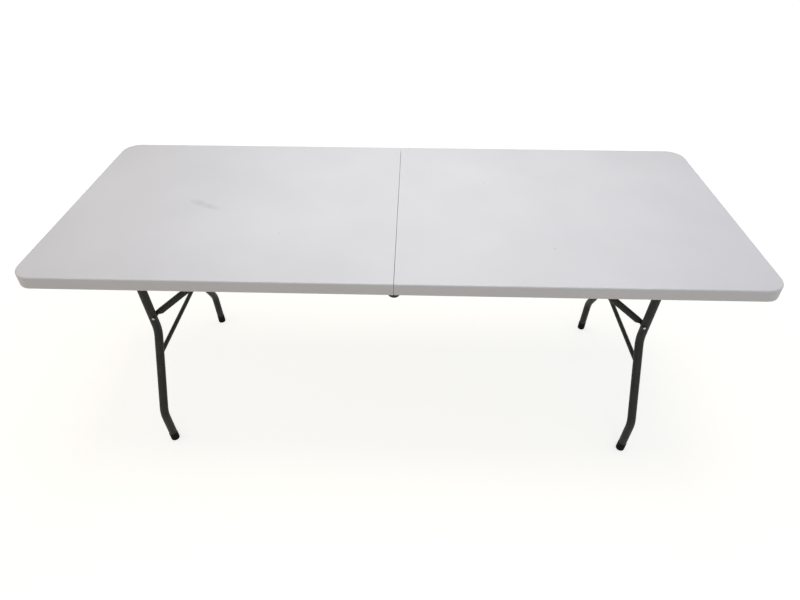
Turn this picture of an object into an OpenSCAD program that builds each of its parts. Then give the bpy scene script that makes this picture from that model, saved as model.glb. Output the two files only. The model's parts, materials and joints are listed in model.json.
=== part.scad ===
// Fold-in-half table: a moulded top in two halves, hinged at the centre,
// on two wishbone leg frames that swing inwards and stow under the top.
// The origin is on the floor below the centre of the top: +X runs along the
// table, -Y is the near side and +Z is up. Every size is in millimetres.

/* [Table top] */
// Length of the open table
top_length = 1800; // [1500:10:2000]
// Width of the table
top_width = 700; // [660:10:800]
// Height of the top surface above the floor
top_height = 740; // [700:5:760]
// Radius of the four outer corners
corner_r = 50; // [40:5:90]
// Thickness of the flat panel
panel_t = 12; // [9:0.5:12]
// Depth of the rim, from the top surface to its lower lip
rim_depth = 35; // [35:0.5:43]
// Thickness of the rim at its rounded lower lip
rim_wall = 13; // [8:0.5:13]
// How far the rim leans in from its top edge to its lip
rim_draft = 2; // [2:0.5:7]
// Radius of the rounded top edge
edge_r = 4; // [2:0.5:6]
// Gap between the two halves
seam_gap = 1; // [0.6:0.1:3]
// Thickness of the rib under each half along the seam
seam_rib = 8; // [5:0.5:10]

/* [Side rails] */
// Width of the rail tube
rail_w = 16; // [14:1:20]
// Height of the rail tube
rail_h = 25; // [24.5:0.1:25.5]
// Wall of the rail tube
rail_wall = 1.5; // [1:0.1:1.6]
// Room between a rail and the rib along the seam
rail_end_gap = 7; // [6:1:20]
// Distance of the outer end of a rail from the end of the top
rail_setback = 40; // [36:1:60]
// Radius of the rail screws
rail_screw_r = 2.5; // [2:0.1:3]
// Number of screws in each rail
rail_screws = 4; // [3:1:5]

/* [Centre hinge] */
// Thickness of the hinge plates
hinge_t = 3; // [2:0.5:3]
// Radius of the round knuckle of a hinge plate
hinge_r = 16; // [12:0.5:16]
// Radius of the hinge pin
hinge_pin_r = 4; // [3:0.5:5]
// Distance of the hinge axis below the lip of the rim
hinge_drop = 5; // [5:0.5:8]
// Length of a hinge plate, from the hinge axis to its square end
hinge_arm = 84; // [76:2:120]

/* [Leg frames] */
// Diameter of the leg tube
leg_d = 25; // [22:0.5:25.5]
// Wall of the leg tube
leg_wall = 1.2; // [1:0.1:2]
// Diameter of the tube that the leg frame swings on
pivot_d = 19; // [17:0.5:19]
// Wall of the tube that the leg frame swings on
pivot_wall = 1.5; // [1:0.1:2]
// Distance of the pivot from the end of the top
pivot_setback = 172; // [165:1:185]
// Depth of the pivot below the top surface
pivot_drop = 26; // [26:0.1:26.5]
// How far each foot stands outside its pivot
leg_splay = 18; // [8:1:30]
// Half the distance between the two legs at their pivot
leg_top_y = 146; // [142:1:170]
// Half the distance between the two legs at their waist
waist_y = 145; // [142:1:150]
// Height of the waist above the floor
waist_z = 372; // [350:2:374]
// Half the distance between the legs at their lower bend
hip_y = 284; // [260:1:288]
// Height of the lower bend above the floor
hip_z = 136; // [130:2:170]
// Half the distance between the centres of the feet
foot_y = 286; // [275:1:290]
// Bend radius of the leg tube
leg_bend_r = 80; // [50:5:90]
// Diameter of the bar between the legs
cross_d = 13.5; // [9:0.5:13.5]
// Distance of the bar between the legs from the pivot
cross_s = 424; // [400:2:440]
// Length of a foot cap
cap_l = 32; // [20:1:45]
// Wall of a foot cap
cap_wall = 0.9; // [0.6:0.1:1.1]

/* [Braces and links] */
// Diameter of the thick stretch of a brace, next to the leg
sleeve_d = 20; // [18:0.5:20]
// Length of the thick stretch of a brace
sleeve_l = 124; // [80:2:124]
// Thickness of the oval rod that a brace goes on as
brace_d = 13; // [10:0.5:13]
// Width of the oval rod, as a multiple of its thickness
brace_oval = 1.35; // [1.05:0.05:1.35]
// Distance of the knee rivet from the pivot, along the leg
knee_s = 284; // [276:1:292]
// Distance of the knee rivet inside the centre line of the leg
knee_in = 6.5; // [6.2:0.1:6.7]
// Distance of the brace rods from the middle of the table
brace_y = 50; // [40:1:60]
// Length of the slanted stretch of a brace rod
brace_slant = 130; // [110:2:160]
// Bend radius of a brace rod
brace_bend_r = 40; // [30:1:60]
// Thickness of the flat ends of a brace
tongue_t = 4; // [3:0.5:4.5]
// Distance of the link pivot from the seam
link_x = 210; // [205:1:220]
// Width of a link bar
link_w = 14; // [12:0.5:14]
// Thickness of a link bar
link_t = 3; // [2:0.5:4]
// Radius of the rivets of the brace and the link
rivet_r = 4; // [3:0.5:4.5]
// Radius of the rivet heads
head_r = 7; // [6:0.5:7]
// Thickness of the rivet heads
head_t = 2; // [1.5:0.5:2.5]

/* [Hidden] */

$fn = 64;
top_colour = "#dcdcdf";
steel_colour = "#30312c";
cap_colour = "#1b1b1a";
rivet_colour = "#b9bab8";

// Running clearance of a pin in its hole, and the gap between moving plates
run_gap = 0.05;
plate_gap = 0.3;
elbow_gap = 0.4;

// Top: heights of the underside of the panel and of the lip of the rim
half_x = top_length / 2;
half_y = top_width / 2;
panel_z = top_height - panel_t;
lip_z = top_height - rim_depth;
lip_r = rim_wall / 2;
rim_w = rim_draft + rim_wall;
seam_x = seam_gap / 2;
rib_x = seam_x + seam_rib;
rib_end_gap = 4;

// Centre hinge: it sits in the space between the rail and the rim
hinge_z = lip_z - hinge_drop;
pin_head_t = 2;
hinge_stack = 2 * hinge_t + 2 * plate_gap + pin_head_t;
rail_out_y = half_y - rim_w - hinge_stack - plate_gap;
rail_in_y = rail_out_y - rail_w;
rail_mid_y = rail_out_y - rail_w / 2;
rail_x0 = rib_x + rail_end_gap;
rail_x1 = half_x - rail_setback;
hinge_rivet_r = 3;
hinge_rivet_head_r = 5;
hinge_rivet_head_t = 1.5;
hinge_rivet_end = 14;
hinge_rivet_pitch = 28;
hinge_rivet_xs = [hinge_arm - hinge_rivet_end, hinge_arm - hinge_rivet_end - hinge_rivet_pitch];
pin_head_r = hinge_pin_r + 3;
// The outer head of the hinge pin is a cap over the knuckles
pin_cap_r = hinge_r - 1;
pad_end_gap = 8;
hinge_rivet_z = panel_z - rail_h / 2;

// Rail screws run up through the rail into the panel, clear of the pivot tube
pivot_x = half_x - pivot_setback;
pivot_z = top_height - pivot_drop;
pivot_r = pivot_d / 2;
screw_bite = 8;
screw_head_r = 5;
screw_head_t = 2;
rail_screw_x0 = hinge_arm + 20;
rail_screw_end = 60;
rail_screw_x1 = rail_x1 - rail_screw_end;
rail_screw_xs = [for (i = [0 : rail_screws - 1])
    rail_screw_x0 + (rail_screw_x1 - rail_screw_x0) * i / (rail_screws - 1)];

// Leg frame: its own frame has the pivot axis as origin and -Z down the leg
leg_lean = atan(leg_splay / pivot_z);
leg_r = leg_d / 2;
function down(z) = (pivot_z - z) / cos(leg_lean);
leg_route = [[leg_top_y, 0], [waist_y, -down(waist_z)], [hip_y, -down(hip_z)], [foot_y, -down(0)]];
foot_seat = 5;
foot_turn = atan2(foot_y - hip_y, down(0) - down(hip_z));
knee_y = leg_top_y - (leg_top_y - waist_y) * knee_s / down(waist_z);
cross_y = waist_y + (hip_y - waist_y) * (cross_s - down(waist_z)) / (down(hip_z) - down(waist_z));
cap_r = leg_r + cap_wall;

// Brace and link: in line when the leg is down, and folded back on each other,
// level under the panel, when it is stowed
brace_r = brace_d / 2;
// The bar clears the stowed brace rods
cross_out = brace_r + cross_d / 2 + elbow_gap - knee_in;
knee_x = pivot_x + knee_s * sin(leg_lean) - knee_in * cos(leg_lean);
knee_z = pivot_z - knee_s * cos(leg_lean) - knee_in * sin(leg_lean);
link_z = pivot_z + knee_in;
brace_angle = atan2(link_z - knee_z, knee_x - link_x);
reach = norm([link_x - knee_x, link_z - knee_z]);
stowed_reach = pivot_x - knee_s - link_x;
brace_l = (reach + stowed_reach) / 2;
link_l = (reach - stowed_reach) / 2;
tongue_leg_gap = 1;
tongue_out_y = knee_y - leg_r - tongue_leg_gap;
tongue_in_y = tongue_out_y - tongue_t;
tongue_r = 7;
tongue_l = 20;
// The rod starts partly buried in its flat end, clear of the head of the knee rivet,
// and ends in the flat end at the elbow
arm_start_s = head_r + 7;
arm_start_y = tongue_in_y - 6;
// The thick stretch lies off the line of the rivets, clear of the panel when stowed
sleeve_r = sleeve_d / 2;
sleeve_drop = sleeve_r + elbow_gap + knee_in - (pivot_drop - panel_t);
sleeve_bury = 1;
arm_end_gap = 10;
arm_end_s = brace_l - arm_end_gap;
brace_half_w = brace_r * brace_oval;
elbow_bury = 0.3;
elbow_y = brace_y + brace_half_w - elbow_bury;
link_in_y = brace_y + brace_half_w + elbow_gap;
link_out_y = link_in_y + link_t;
bracket_t = 3;
bracket_y = link_out_y + elbow_gap;
bracket_w = 28;
bracket_flange_w = 25;
bracket_flange_t = 2;
bracket_screw_r = 2;
bracket_screw_head_r = 4.5;
bracket_edge = 4;
// The heads of the link rivets clear the flange above them
link_head_r = 5;
bracket_screw_y = bracket_y + bracket_t + bracket_flange_w / 2 - 1;

// ---------------------------------------------------------------- helpers

// Everything is drawn for the right end and the far side, then mirrored
module at(side, row) {
    mx = side < 0 ? 1 : 0;
    my = row < 0 ? 1 : 0;
    mirror([mx, 0, 0]) mirror([0, my, 0]) children();
}

// A pin, rivet or hole along +Y, centred on x, z
module along_y(x, z, y0, y1, r) {
    translate([x, y1, z]) rotate([90, 0, 0]) cylinder(h = y1 - y0, r = r);
}

// A round section: solid, or hollow where a wall is given
module round_section(r, wall) {
    difference() {
        circle(r);
        if (wall > 0) circle(r - wall);
    }
}

// The section of a bar that bends: round, or an oval that is wider in the plane of
// the bend. The plane lies along Y in a straight stretch and along X in a bend
module straight_section(r, wall, oval) {
    if (oval == 1) round_section(r, wall);
    else scale([1, oval]) circle(r);
}
module bend_section(r, wall, oval) {
    if (oval == 1) round_section(r, wall);
    else scale([oval, 1]) circle(r);
}

// A round bar or tube bent along a route of points in the XY plane. Each stretch
// is drawn in the frame that the last one ends in, so that their ends meet, and a
// ring a hair thicker than the bar joins them
function heading(a, b) = atan2(b[1] - a[1], b[0] - a[0]);
function turn(p, i) = heading(p[i], p[i + 1]) - heading(p[i - 1], p[i]);
function bend_setback(p, i, r) = (i == 0 || i == len(p) - 1) ? 0 : r * tan(abs(turn(p, i)) / 2);
module joint_ring(r, wall, oval) {
    extra = 0.05;
    rotate([0, 90, 0]) translate([0, 0, -0.5])
        linear_extrude(1) straight_section(r + extra, wall > 0 ? wall + 2 * extra : 0, oval);
}
module bent_from(p, bend_r, r, wall, oval, i) {
    l = norm(p[i + 1] - p[i]) - bend_setback(p, i, bend_r) - bend_setback(p, i + 1, bend_r);
    rotate([0, 90, 0]) linear_extrude(l) straight_section(r, wall, oval);
    if (i < len(p) - 2) {
        t = turn(p, i + 1);
        hand = t > 0 ? 1 : -1;
        translate([l, 0, 0]) {
            joint_ring(r, wall, oval);
            translate([0, hand * bend_r, 0]) {
                mirror([0, hand < 0 ? 1 : 0, 0]) rotate([0, 0, -90])
                    rotate_extrude(angle = abs(t)) translate([bend_r, 0]) bend_section(r, wall, oval);
                rotate([0, 0, t]) translate([0, -hand * bend_r, 0]) {
                    joint_ring(r, wall, oval);
                    bent_from(p, bend_r, r, wall, oval, i + 1);
                }
            }
        }
    }
}
module bent(p, bend_r, r, wall = 0, oval = 1) {
    translate(p[0]) rotate([0, 0, heading(p[0], p[1])]) bent_from(p, bend_r, r, wall, oval, 0);
}

// A flat bar from x = 0 to l in the XZ plane, with round ends and a hole in each,
// or in the first alone
module flat_bar(l, r, y0, y1, hole_a, hole_b) {
    translate([0, y1, 0]) rotate([90, 0, 0]) linear_extrude(y1 - y0) difference() {
        union() {
            circle(r);
            translate([l, 0]) circle(r);
            translate([0, -r]) square([l, 2 * r]);
        }
        circle(hole_a);
        if (hole_b > 0) translate([l, 0]) circle(hole_b);
    }
}

// The frames of the leg, the brace and the link at the right end
module on_leg() {
    translate([pivot_x, 0, pivot_z]) rotate([0, -leg_lean, 0]) children();
}
module on_brace() {
    translate([knee_x, 0, knee_z]) rotate([0, 180 + brace_angle, 0]) children();
}
module on_link() {
    translate([link_x, 0, link_z]) rotate([0, brace_angle, 0]) children();
}

// ---------------------------------------------------------------- the top

// Section of the rim: x is the distance in from the outer edge, y is height
module rim_section() {
    translate([edge_r, top_height - edge_r]) circle(edge_r);
    translate([rim_draft + lip_r, lip_z + lip_r]) circle(lip_r);
    polygon([[0, top_height - edge_r], [edge_r, top_height], [rim_w, top_height],
        [rim_w, lip_z + lip_r], [rim_draft, lip_z + lip_r]]);
}

// The same section facing the other way, for an edge at the high end of an axis
module rim_inwards() {
    mirror([1, 0]) rim_section();
}

module top_half() {
    corner_x = half_x - corner_r;
    corner_y = half_y - corner_r;
    difference() {
        union() {
            // The flat panel
            translate([seam_x, -corner_y, panel_z])
                cube([half_x - rim_w / 2 - seam_x, 2 * corner_y, panel_t]);
            translate([seam_x, -half_y + rim_w / 2, panel_z])
                cube([corner_x - seam_x, top_width - rim_w, panel_t]);
            for (row = [-1, 1]) translate([corner_x, row * corner_y, panel_z])
                cylinder(h = panel_t, r = corner_r - rim_w / 2);
            // The rim along the far side, the near side and the end
            for (row = [-1, 1]) at(1, row) {
                translate([seam_x, half_y, 0]) rotate([90, 0, 90])
                    linear_extrude(corner_x - seam_x) rim_inwards();
                translate([corner_x, corner_y, 0])
                    rotate_extrude(angle = 90) translate([corner_r, 0]) rim_inwards();
            }
            translate([half_x, corner_y, 0]) rotate([90, 0, 0])
                linear_extrude(2 * corner_y) rim_inwards();
            // The rib along the seam, between the rails
            translate([seam_x, -rail_in_y + rib_end_gap, lip_z])
                cube([seam_rib, 2 * (rail_in_y - rib_end_gap), panel_z - lip_z + 1]);
        }
        rail_screw_holes();
        bracket_screw_holes();
    }
}

module rail_screw_holes() {
    for (row = [-1, 1], x = rail_screw_xs)
        translate([x, row * rail_mid_y, panel_z - 1]) cylinder(h = screw_bite + 1, r = rail_screw_r);
}

module bracket_screw_holes() {
    for (row = [-1, 1], dx = [-1, 1])
        translate([link_x + dx * bracket_w / 4, row * bracket_screw_y, panel_z - 1])
            cylinder(h = screw_bite + 1, r = bracket_screw_r);
}

module top(side) {
    color(top_colour) at(side, 1) top_half();
}

// ------------------------------------------------------------ rails, hinge

module rail(side, row) {
    color(steel_colour) at(side, row) difference() {
        translate([rail_x0, rail_in_y, panel_z - rail_h]) cube([rail_x1 - rail_x0, rail_w, rail_h]);
        translate([rail_x0 - 1, rail_in_y + rail_wall, panel_z - rail_h + rail_wall])
            cube([rail_x1 - rail_x0 + 2, rail_w - 2 * rail_wall, rail_h - 2 * rail_wall]);
        along_y(pivot_x, pivot_z, rail_in_y - 1, rail_out_y + 1, pivot_r + run_gap);
        for (x = rail_screw_xs)
            translate([x, rail_mid_y, panel_z - rail_h - 1]) cylinder(h = rail_h + 2, r = rail_screw_r);
        for (x = hinge_rivet_xs)
            along_y(x, hinge_rivet_z, rail_mid_y, rail_out_y + 1, hinge_rivet_r);
    }
}

module rail_screw_set(side) {
    color(rivet_colour) for (row = [-1, 1], x = rail_screw_xs) at(side, row)
        translate([x, rail_mid_y, panel_z - rail_h]) {
            translate([0, 0, -screw_head_t]) cylinder(h = screw_head_t, r = screw_head_r);
            cylinder(h = rail_h + screw_bite, r = rail_screw_r);
        }
}

// A hinge plate: a round knuckle on the axis and an arm along the rail. The right
// plate runs outside the left one, on a pad as thick as the left plate and its gap
module hinge_plate_shape(y0, hole) {
    arm_z = panel_z - rail_h;
    translate([0, y0 + hinge_t, 0]) rotate([90, 0, 0]) linear_extrude(hinge_t) difference() {
        union() {
            translate([0, hinge_z]) circle(hinge_r);
            polygon([[hinge_arm, panel_z - 2], [0, hinge_z + hinge_r], [0, hinge_z - hinge_r],
                [rail_x0 + hinge_r, arm_z], [hinge_arm, arm_z]]);
        }
        translate([0, hinge_z]) circle(hole);
        for (x = hinge_rivet_xs) translate([x, hinge_rivet_z]) circle(hinge_rivet_r);
    }
}

module hinge_plate(side, row) {
    pad_x = hinge_r + pad_end_gap;
    pad_t = hinge_t + plate_gap;
    arm_z = panel_z - rail_h;
    color(steel_colour) at(side, row) {
        if (side < 0)
            hinge_plate_shape(rail_out_y, hinge_pin_r);
        else {
            hinge_plate_shape(rail_out_y + pad_t, hinge_pin_r + run_gap);
            difference() {
                translate([pad_x, rail_out_y, arm_z]) cube([hinge_arm - pad_x, pad_t, rail_h - pad_end_gap]);
                for (x = hinge_rivet_xs)
                    along_y(x, hinge_rivet_z, rail_out_y - 1, rail_out_y + pad_t + 1, hinge_rivet_r);
            }
        }
    }
}

module hinge_pin(row) {
    y1 = rail_out_y + 2 * hinge_t + 2 * plate_gap;
    color(steel_colour) at(1, row) {
        along_y(0, hinge_z, rail_out_y - pin_head_t, rail_out_y, pin_head_r);
        along_y(0, hinge_z, rail_out_y - pin_head_t, y1, hinge_pin_r);
        along_y(0, hinge_z, y1, y1 + pin_head_t, pin_cap_r);
    }
}

module hinge_rivet_set(side) {
    pad_t = side < 0 ? 0 : hinge_t + plate_gap;
    y1 = rail_out_y + hinge_t + pad_t;
    color(rivet_colour) for (row = [-1, 1], x = hinge_rivet_xs) at(side, row) {
        along_y(x, hinge_rivet_z, rail_out_y - rail_wall, y1, hinge_rivet_r);
        along_y(x, hinge_rivet_z, y1, y1 + hinge_rivet_head_t, hinge_rivet_head_r);
    }
}

// --------------------------------------------------------------- leg frame

module pivot_tube(side) {
    color(steel_colour) at(side, 1) translate([pivot_x, rail_out_y, pivot_z])
        rotate([90, 0, 0]) linear_extrude(2 * rail_out_y) round_section(pivot_r, pivot_wall);
}

// The leg tube runs from the pivot tube to its seat in the foot cap
module leg_shape(wall = 0) {
    last = len(leg_route) - 1;
    seat = foot_seat / cos(foot_turn);
    end = leg_route[last] - seat * [sin(foot_turn), -cos(foot_turn)];
    route = [for (i = [0 : last]) i < last ? leg_route[i] : end];
    rotate([90, 0, 90]) bent(route, leg_bend_r, leg_r, wall);
}

module leg(side, row) {
    color(steel_colour) at(side, row) on_leg() difference() {
        leg_shape(leg_wall);
        along_y(0, 0, 0, half_y, pivot_r);
        along_y(-knee_in, -knee_s, 0, half_y, rivet_r);
    }
}

// The bar meets the inner face of each leg
module cross_bar(side) {
    color(steel_colour) at(side, 1) on_leg() difference() {
        along_y(cross_out, -cross_s, -cross_y, cross_y, cross_d / 2);
        for (row = [-1, 1]) at(1, row) leg_shape();
    }
}

// The cap is a sleeve over the end of the leg, cut level with the floor
module foot_cap(side, row) {
    color(cap_colour) at(side, row) difference() {
        on_leg() difference() {
            translate([0, foot_y, -down(0)]) rotate([foot_turn, 0, 0])
                translate([0, 0, -leg_d]) cylinder(h = leg_d + cap_l, r = cap_r);
            leg_shape();
        }
        translate([pivot_x - leg_d, foot_y - 2 * leg_d, -4 * leg_d])
            cube([leg_splay + 2 * leg_d, 4 * leg_d, 4 * leg_d]);
    }
}

module knee_rivet_set(side) {
    color(rivet_colour) for (row = [-1, 1]) at(side, row) on_leg() {
        along_y(-knee_in, -knee_s, tongue_in_y - plate_gap - head_t, tongue_in_y - plate_gap, head_r);
        along_y(-knee_in, -knee_s, tongue_in_y - plate_gap, knee_y + leg_r, rivet_r);
        difference() {
            union() {
                along_y(-knee_in, -knee_s, tongue_out_y + plate_gap, knee_y, head_r);
                along_y(-knee_in, -knee_s, knee_y, knee_y + leg_r + head_t, head_r);
            }
            leg_shape();
        }
    }
}

// ------------------------------------------------------------ brace, link

module brace(side, row) {
    route = [[arm_start_s, arm_start_y], [arm_start_s + brace_slant, brace_y], [arm_end_s, brace_y]];
    color(steel_colour) at(side, row) on_brace() {
        flat_bar(tongue_l, tongue_r, tongue_in_y, tongue_out_y, rivet_r + run_gap, 0);
        bent(route, brace_bend_r, brace_r, 0, brace_oval);
        translate([arm_start_s, arm_start_y, sleeve_drop]) rotate([0, 0, heading(route[0], route[1])])
            translate([-sleeve_bury, 0, 0]) rotate([0, 90, 0]) cylinder(h = sleeve_l, r = sleeve_r);
        translate([brace_l, 0, 0]) rotate([0, 180, 0])
            flat_bar(tongue_l, tongue_r, elbow_y - tongue_t, elbow_y, rivet_r, 0);
    }
}

module release_rod(side) {
    color(steel_colour) at(side, 1) on_brace()
        along_y(brace_l, 0, -elbow_y, elbow_y, rivet_r);
}

module link(side, row) {
    color(steel_colour) at(side, row) on_link()
        flat_bar(link_l, link_w / 2, link_in_y, link_out_y, rivet_r + run_gap, rivet_r);
}

module elbow_rivet_set(side) {
    color(rivet_colour) for (row = [-1, 1]) at(side, row) on_link() {
        along_y(link_l, 0, link_in_y, link_out_y, rivet_r);
        along_y(link_l, 0, link_out_y, link_out_y + head_t, head_r);
    }
}

module link_bracket(side, row) {
    lug_r = bracket_w / 2 - bracket_edge;
    color(steel_colour) at(side, row) difference() {
        union() {
            translate([link_x - bracket_w / 2, bracket_y, panel_z - bracket_flange_t])
                cube([bracket_w, bracket_t + bracket_flange_w, bracket_flange_t]);
            along_y(link_x, link_z, bracket_y, bracket_y + bracket_t, lug_r);
            translate([link_x - lug_r, bracket_y, link_z])
                cube([2 * lug_r, bracket_t, panel_z - link_z]);
        }
        translate([0, 0, panel_z]) cube([half_x, half_y, panel_t]);
        along_y(link_x, link_z, bracket_y - 1, bracket_y + bracket_t + 1, rivet_r);
        for (dx = [-1, 1]) translate([link_x + dx * bracket_w / 4, bracket_screw_y, 0])
            cylinder(h = top_height, r = bracket_screw_r);
    }
}

module link_rivet_set(side) {
    color(rivet_colour) for (row = [-1, 1]) at(side, row) {
        along_y(link_x, link_z, link_in_y, bracket_y + bracket_t, rivet_r);
        along_y(link_x, link_z, bracket_y + bracket_t, bracket_y + bracket_t + head_t, link_head_r);
    }
}

module bracket_screw_set(side) {
    z0 = panel_z - bracket_flange_t;
    color(rivet_colour) for (row = [-1, 1], dx = [-1, 1]) at(side, row)
        translate([link_x + dx * bracket_w / 4, bracket_screw_y, z0]) {
            translate([0, 0, -screw_head_t]) cylinder(h = screw_head_t, r = bracket_screw_head_r);
            cylinder(h = bracket_flange_t + screw_bite, r = bracket_screw_r);
        }
}

// --------------------------------------------------------------- the nodes

top(-1);  // top_left
top(1);  // top_right
rail(-1, -1);  // rail_near_left
rail(-1, 1);  // rail_far_left
rail(1, -1);  // rail_near_right
rail(1, 1);  // rail_far_right
rail_screw_set(-1);  // rail_screws_left
rail_screw_set(1);  // rail_screws_right
hinge_plate(-1, -1);  // hinge_plate_near_left
hinge_plate(-1, 1);  // hinge_plate_far_left
hinge_plate(1, -1);  // hinge_plate_near_right
hinge_plate(1, 1);  // hinge_plate_far_right
hinge_pin(-1);  // hinge_pin_near
hinge_pin(1);  // hinge_pin_far
hinge_rivet_set(-1);  // hinge_rivets_left
hinge_rivet_set(1);  // hinge_rivets_right
pivot_tube(-1);  // pivot_tube_left
pivot_tube(1);  // pivot_tube_right
leg(-1, -1);  // leg_near_left
leg(-1, 1);  // leg_far_left
leg(1, -1);  // leg_near_right
leg(1, 1);  // leg_far_right
cross_bar(-1);  // cross_bar_left
cross_bar(1);  // cross_bar_right
foot_cap(-1, -1);  // foot_cap_near_left
foot_cap(-1, 1);  // foot_cap_far_left
foot_cap(1, -1);  // foot_cap_near_right
foot_cap(1, 1);  // foot_cap_far_right
knee_rivet_set(-1);  // knee_rivets_left
knee_rivet_set(1);  // knee_rivets_right
brace(-1, -1);  // brace_near_left
brace(-1, 1);  // brace_far_left
brace(1, -1);  // brace_near_right
brace(1, 1);  // brace_far_right
release_rod(-1);  // release_rod_left
release_rod(1);  // release_rod_right
link(-1, -1);  // link_near_left
link(-1, 1);  // link_far_left
link(1, -1);  // link_near_right
link(1, 1);  // link_far_right
elbow_rivet_set(-1);  // elbow_rivets_left
elbow_rivet_set(1);  // elbow_rivets_right
link_bracket(-1, -1);  // link_bracket_near_left
link_bracket(-1, 1);  // link_bracket_far_left
link_bracket(1, -1);  // link_bracket_near_right
link_bracket(1, 1);  // link_bracket_far_right
link_rivet_set(-1);  // link_rivets_left
link_rivet_set(1);  // link_rivets_right
bracket_screw_set(-1);  // bracket_screws_left
bracket_screw_set(1);  // bracket_screws_right
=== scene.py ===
"""Fold-in-half table: the finished surfaces and the rounded shapes, built around the plain model.

Every length is in metres in the model's own frame: +X along the table, -Y the near side, +Z up,
and the floor at z = 0. Places come from the boxes of the model's pieces, its joints and its
mounts. Each piece is drawn for the far row of the right end, and mirrored to its own place.
"""
import json
import math
import bmesh
import bpy
from mathutils import Matrix, Vector


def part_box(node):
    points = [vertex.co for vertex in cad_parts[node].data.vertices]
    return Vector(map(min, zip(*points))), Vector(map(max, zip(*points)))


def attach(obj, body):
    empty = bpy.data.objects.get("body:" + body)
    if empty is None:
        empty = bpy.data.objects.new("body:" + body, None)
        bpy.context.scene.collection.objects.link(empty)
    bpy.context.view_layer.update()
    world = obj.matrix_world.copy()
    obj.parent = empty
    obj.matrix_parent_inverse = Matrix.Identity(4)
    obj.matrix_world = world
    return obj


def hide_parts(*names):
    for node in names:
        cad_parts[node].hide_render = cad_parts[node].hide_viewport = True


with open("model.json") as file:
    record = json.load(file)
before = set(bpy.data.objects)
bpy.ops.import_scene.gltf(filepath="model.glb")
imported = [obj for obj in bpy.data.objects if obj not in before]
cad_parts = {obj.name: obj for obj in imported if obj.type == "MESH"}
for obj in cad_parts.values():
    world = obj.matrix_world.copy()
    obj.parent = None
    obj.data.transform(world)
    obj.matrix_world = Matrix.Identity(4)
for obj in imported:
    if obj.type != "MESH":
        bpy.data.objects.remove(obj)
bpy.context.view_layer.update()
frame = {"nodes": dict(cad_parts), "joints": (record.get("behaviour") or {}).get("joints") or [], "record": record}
NODES = frame["nodes"]
MM = 0.001
SIDES = {"left": -1, "right": 1}
ROWS = {"near": -1, "far": 1}


# ------------------------------------------------------------------ camera

CAMERA_AT = Vector((38.57, -1260.64, 1495.34)) * MM
CAMERA_PITCH = 0.7605
CAMERA_YAW = -0.0260
CAMERA_ROLL = -0.0009
SENSOR_MM = 36.0
LENS_MM = 23.274
SHIFT_Y = 0.025


def add_camera():
    data = bpy.data.cameras.new("camera")
    data.sensor_width = SENSOR_MM
    data.lens = LENS_MM
    data.shift_y = SHIFT_Y
    camera = bpy.data.objects.new("camera", data)
    bpy.context.scene.collection.objects.link(camera)
    aim = Vector((math.sin(CAMERA_YAW) * math.cos(CAMERA_PITCH),
                  math.cos(CAMERA_YAW) * math.cos(CAMERA_PITCH),
                  -math.sin(CAMERA_PITCH)))
    turn = aim.to_track_quat("-Z", "Y") @ Matrix.Rotation(-CAMERA_ROLL, 3, "Z").to_quaternion()
    camera.matrix_world = Matrix.Translation(CAMERA_AT) @ turn.to_matrix().to_4x4()
    bpy.context.scene.camera = camera


add_camera()


# --------------------------------------------------------------- materials

def srgb(hex_colour):
    """Linear RGBA of an sRGB hex colour."""
    parts = [int(hex_colour[i:i + 2], 16) / 255 for i in (1, 3, 5)]
    return [c / 12.92 if c <= 0.04045 else ((c + 0.055) / 1.055) ** 2.4 for c in parts] + [1.0]


def node_in(tree, kind, settings=(), **inputs):
    """Adds a node with its settings; its inputs, by name or as i and a number, are values or
    other nodes' outputs."""
    made = tree.nodes.new(kind)
    for name, value in dict(settings).items():
        setattr(made, name, value)
    for name, value in inputs.items():
        socket = made.inputs[int(name[1:]) if name[0] == "i" and name[1:].isdigit()
                             else name.replace("_", " ")]
        if isinstance(value, bpy.types.NodeSocket):
            tree.links.new(value, socket)
        else:
            socket.default_value = value
    return made


def shader(name):
    """A new material, its tree, its surface shader and its place on the piece."""
    material = bpy.data.materials.new(name)
    material.use_nodes = True
    tree = material.node_tree
    place = node_in(tree, "ShaderNodeTexCoord").outputs["Object"]
    return material, tree, tree.nodes["Principled BSDF"], place


def link(tree, source, target):
    tree.links.new(source, target)


def across(size_mm):
    """The scale of a noise whose features are about size_mm across."""
    return 1 / (size_mm * MM)


# The range that a noise mostly keeps to, which a map range node spreads out
NOISE_RANGE = {"From_Min": 0.3, "From_Max": 0.7}
# A mix node has an A and a B for each kind of data: its colours are inputs 6 and 7, output 2
COLOURS = {"data_type": "RGBA"}
TIMES = {"operation": "MULTIPLY"}
PLUS = {"operation": "ADD"}
GREATER = {"operation": "MAXIMUM"}


def mark(tree, place, centre_mm, half_mm, angle_deg):
    """A soft oval mark: 1 at its centre, fading to 0 at its edge."""
    flat = node_in(tree, "ShaderNodeMapping", {"vector_type": "TEXTURE"}, Vector=place,
                   Location=[c * MM for c in centre_mm],
                   Rotation=(0, 0, math.radians(angle_deg)), Scale=[h * MM for h in half_mm])
    return node_in(tree, "ShaderNodeTexGradient", {"gradient_type": "SPHERICAL"},
                   Vector=flat.outputs["Vector"]).outputs["Fac"]


def marks(tree, place, each):
    """All of a kind of mark together: the strongest wherever they meet."""
    strongest = 0.0
    for centre, half, angle in each:
        strongest = node_in(tree, "ShaderNodeMath", GREATER, i0=strongest,
                            i1=mark(tree, place, centre, half, angle)).outputs[0]
    return strongest


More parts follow.
